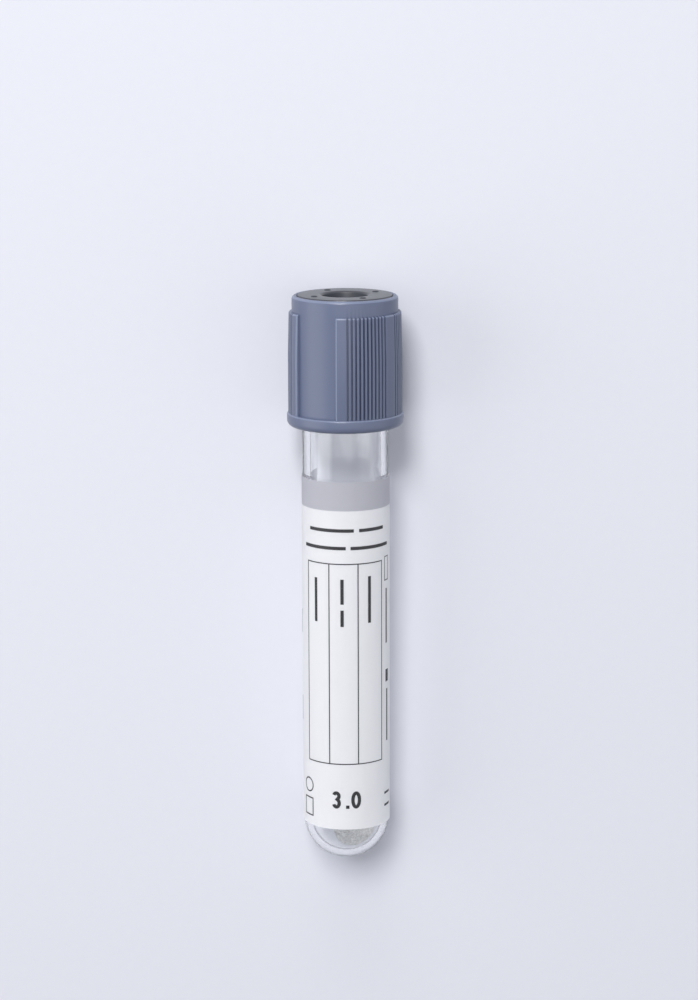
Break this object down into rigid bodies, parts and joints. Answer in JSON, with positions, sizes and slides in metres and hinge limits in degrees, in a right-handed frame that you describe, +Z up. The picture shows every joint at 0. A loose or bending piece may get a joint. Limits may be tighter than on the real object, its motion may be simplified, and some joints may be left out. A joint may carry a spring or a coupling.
{
  "type": "blood collection tube",
  "caption": "Round-bottomed clear blood collection tube lying on its side, with a rubber stopper in a ribbed grey cap, a wrapped label with a grey band, and dried additive in its bottom.",
  "frame": {"origin": "middle of the bounding box at the height of the surface that the tube lies on", "axes": "+Z up; +Y along the lying tube, from its round bottom towards its closure; the tube's axis rises 2.0 degrees towards the closure, because the cap's flange is wider than the tube; +X to the right of someone who looks down on it with the closure away from them"},
  "size_m": [0.0172, 0.0867, 0.0175],
  "materials": {
    "clear_plastic": "clear moulded polyester, smooth and glossy",
    "label_paper": "matte coated white paper with a printed grey band and black lines",
    "additive_powder": "dull, fine-grained dried salt",
    "stopper_rubber": "moulded butyl rubber, low sheen",
    "cap_plastic": "injection-moulded polyethylene, satin"
  },
  "bodies": {
    "tube_body": {"tube": "clear_plastic", "label": "label_paper", "additive": "additive_powder"},
    "stopper_body": {"stopper": "stopper_rubber"},
    "cap_body": {"cap_shell": "cap_plastic"}
  },
  "joints": [
    {"name": "closure_pull", "type": "slide", "parent": "tube_body", "child": "stopper_body", "axis": [0, 0.9994, 0.0352], "range_m": [0, 0.02]},
    {"name": "cap_twist", "type": "hinge", "parent": "stopper_body", "child": "cap_body", "pos_m": [0, 0.0362, 0.00907], "axis": [0, 0.9994, 0.0352], "continuous": true}
  ]
}
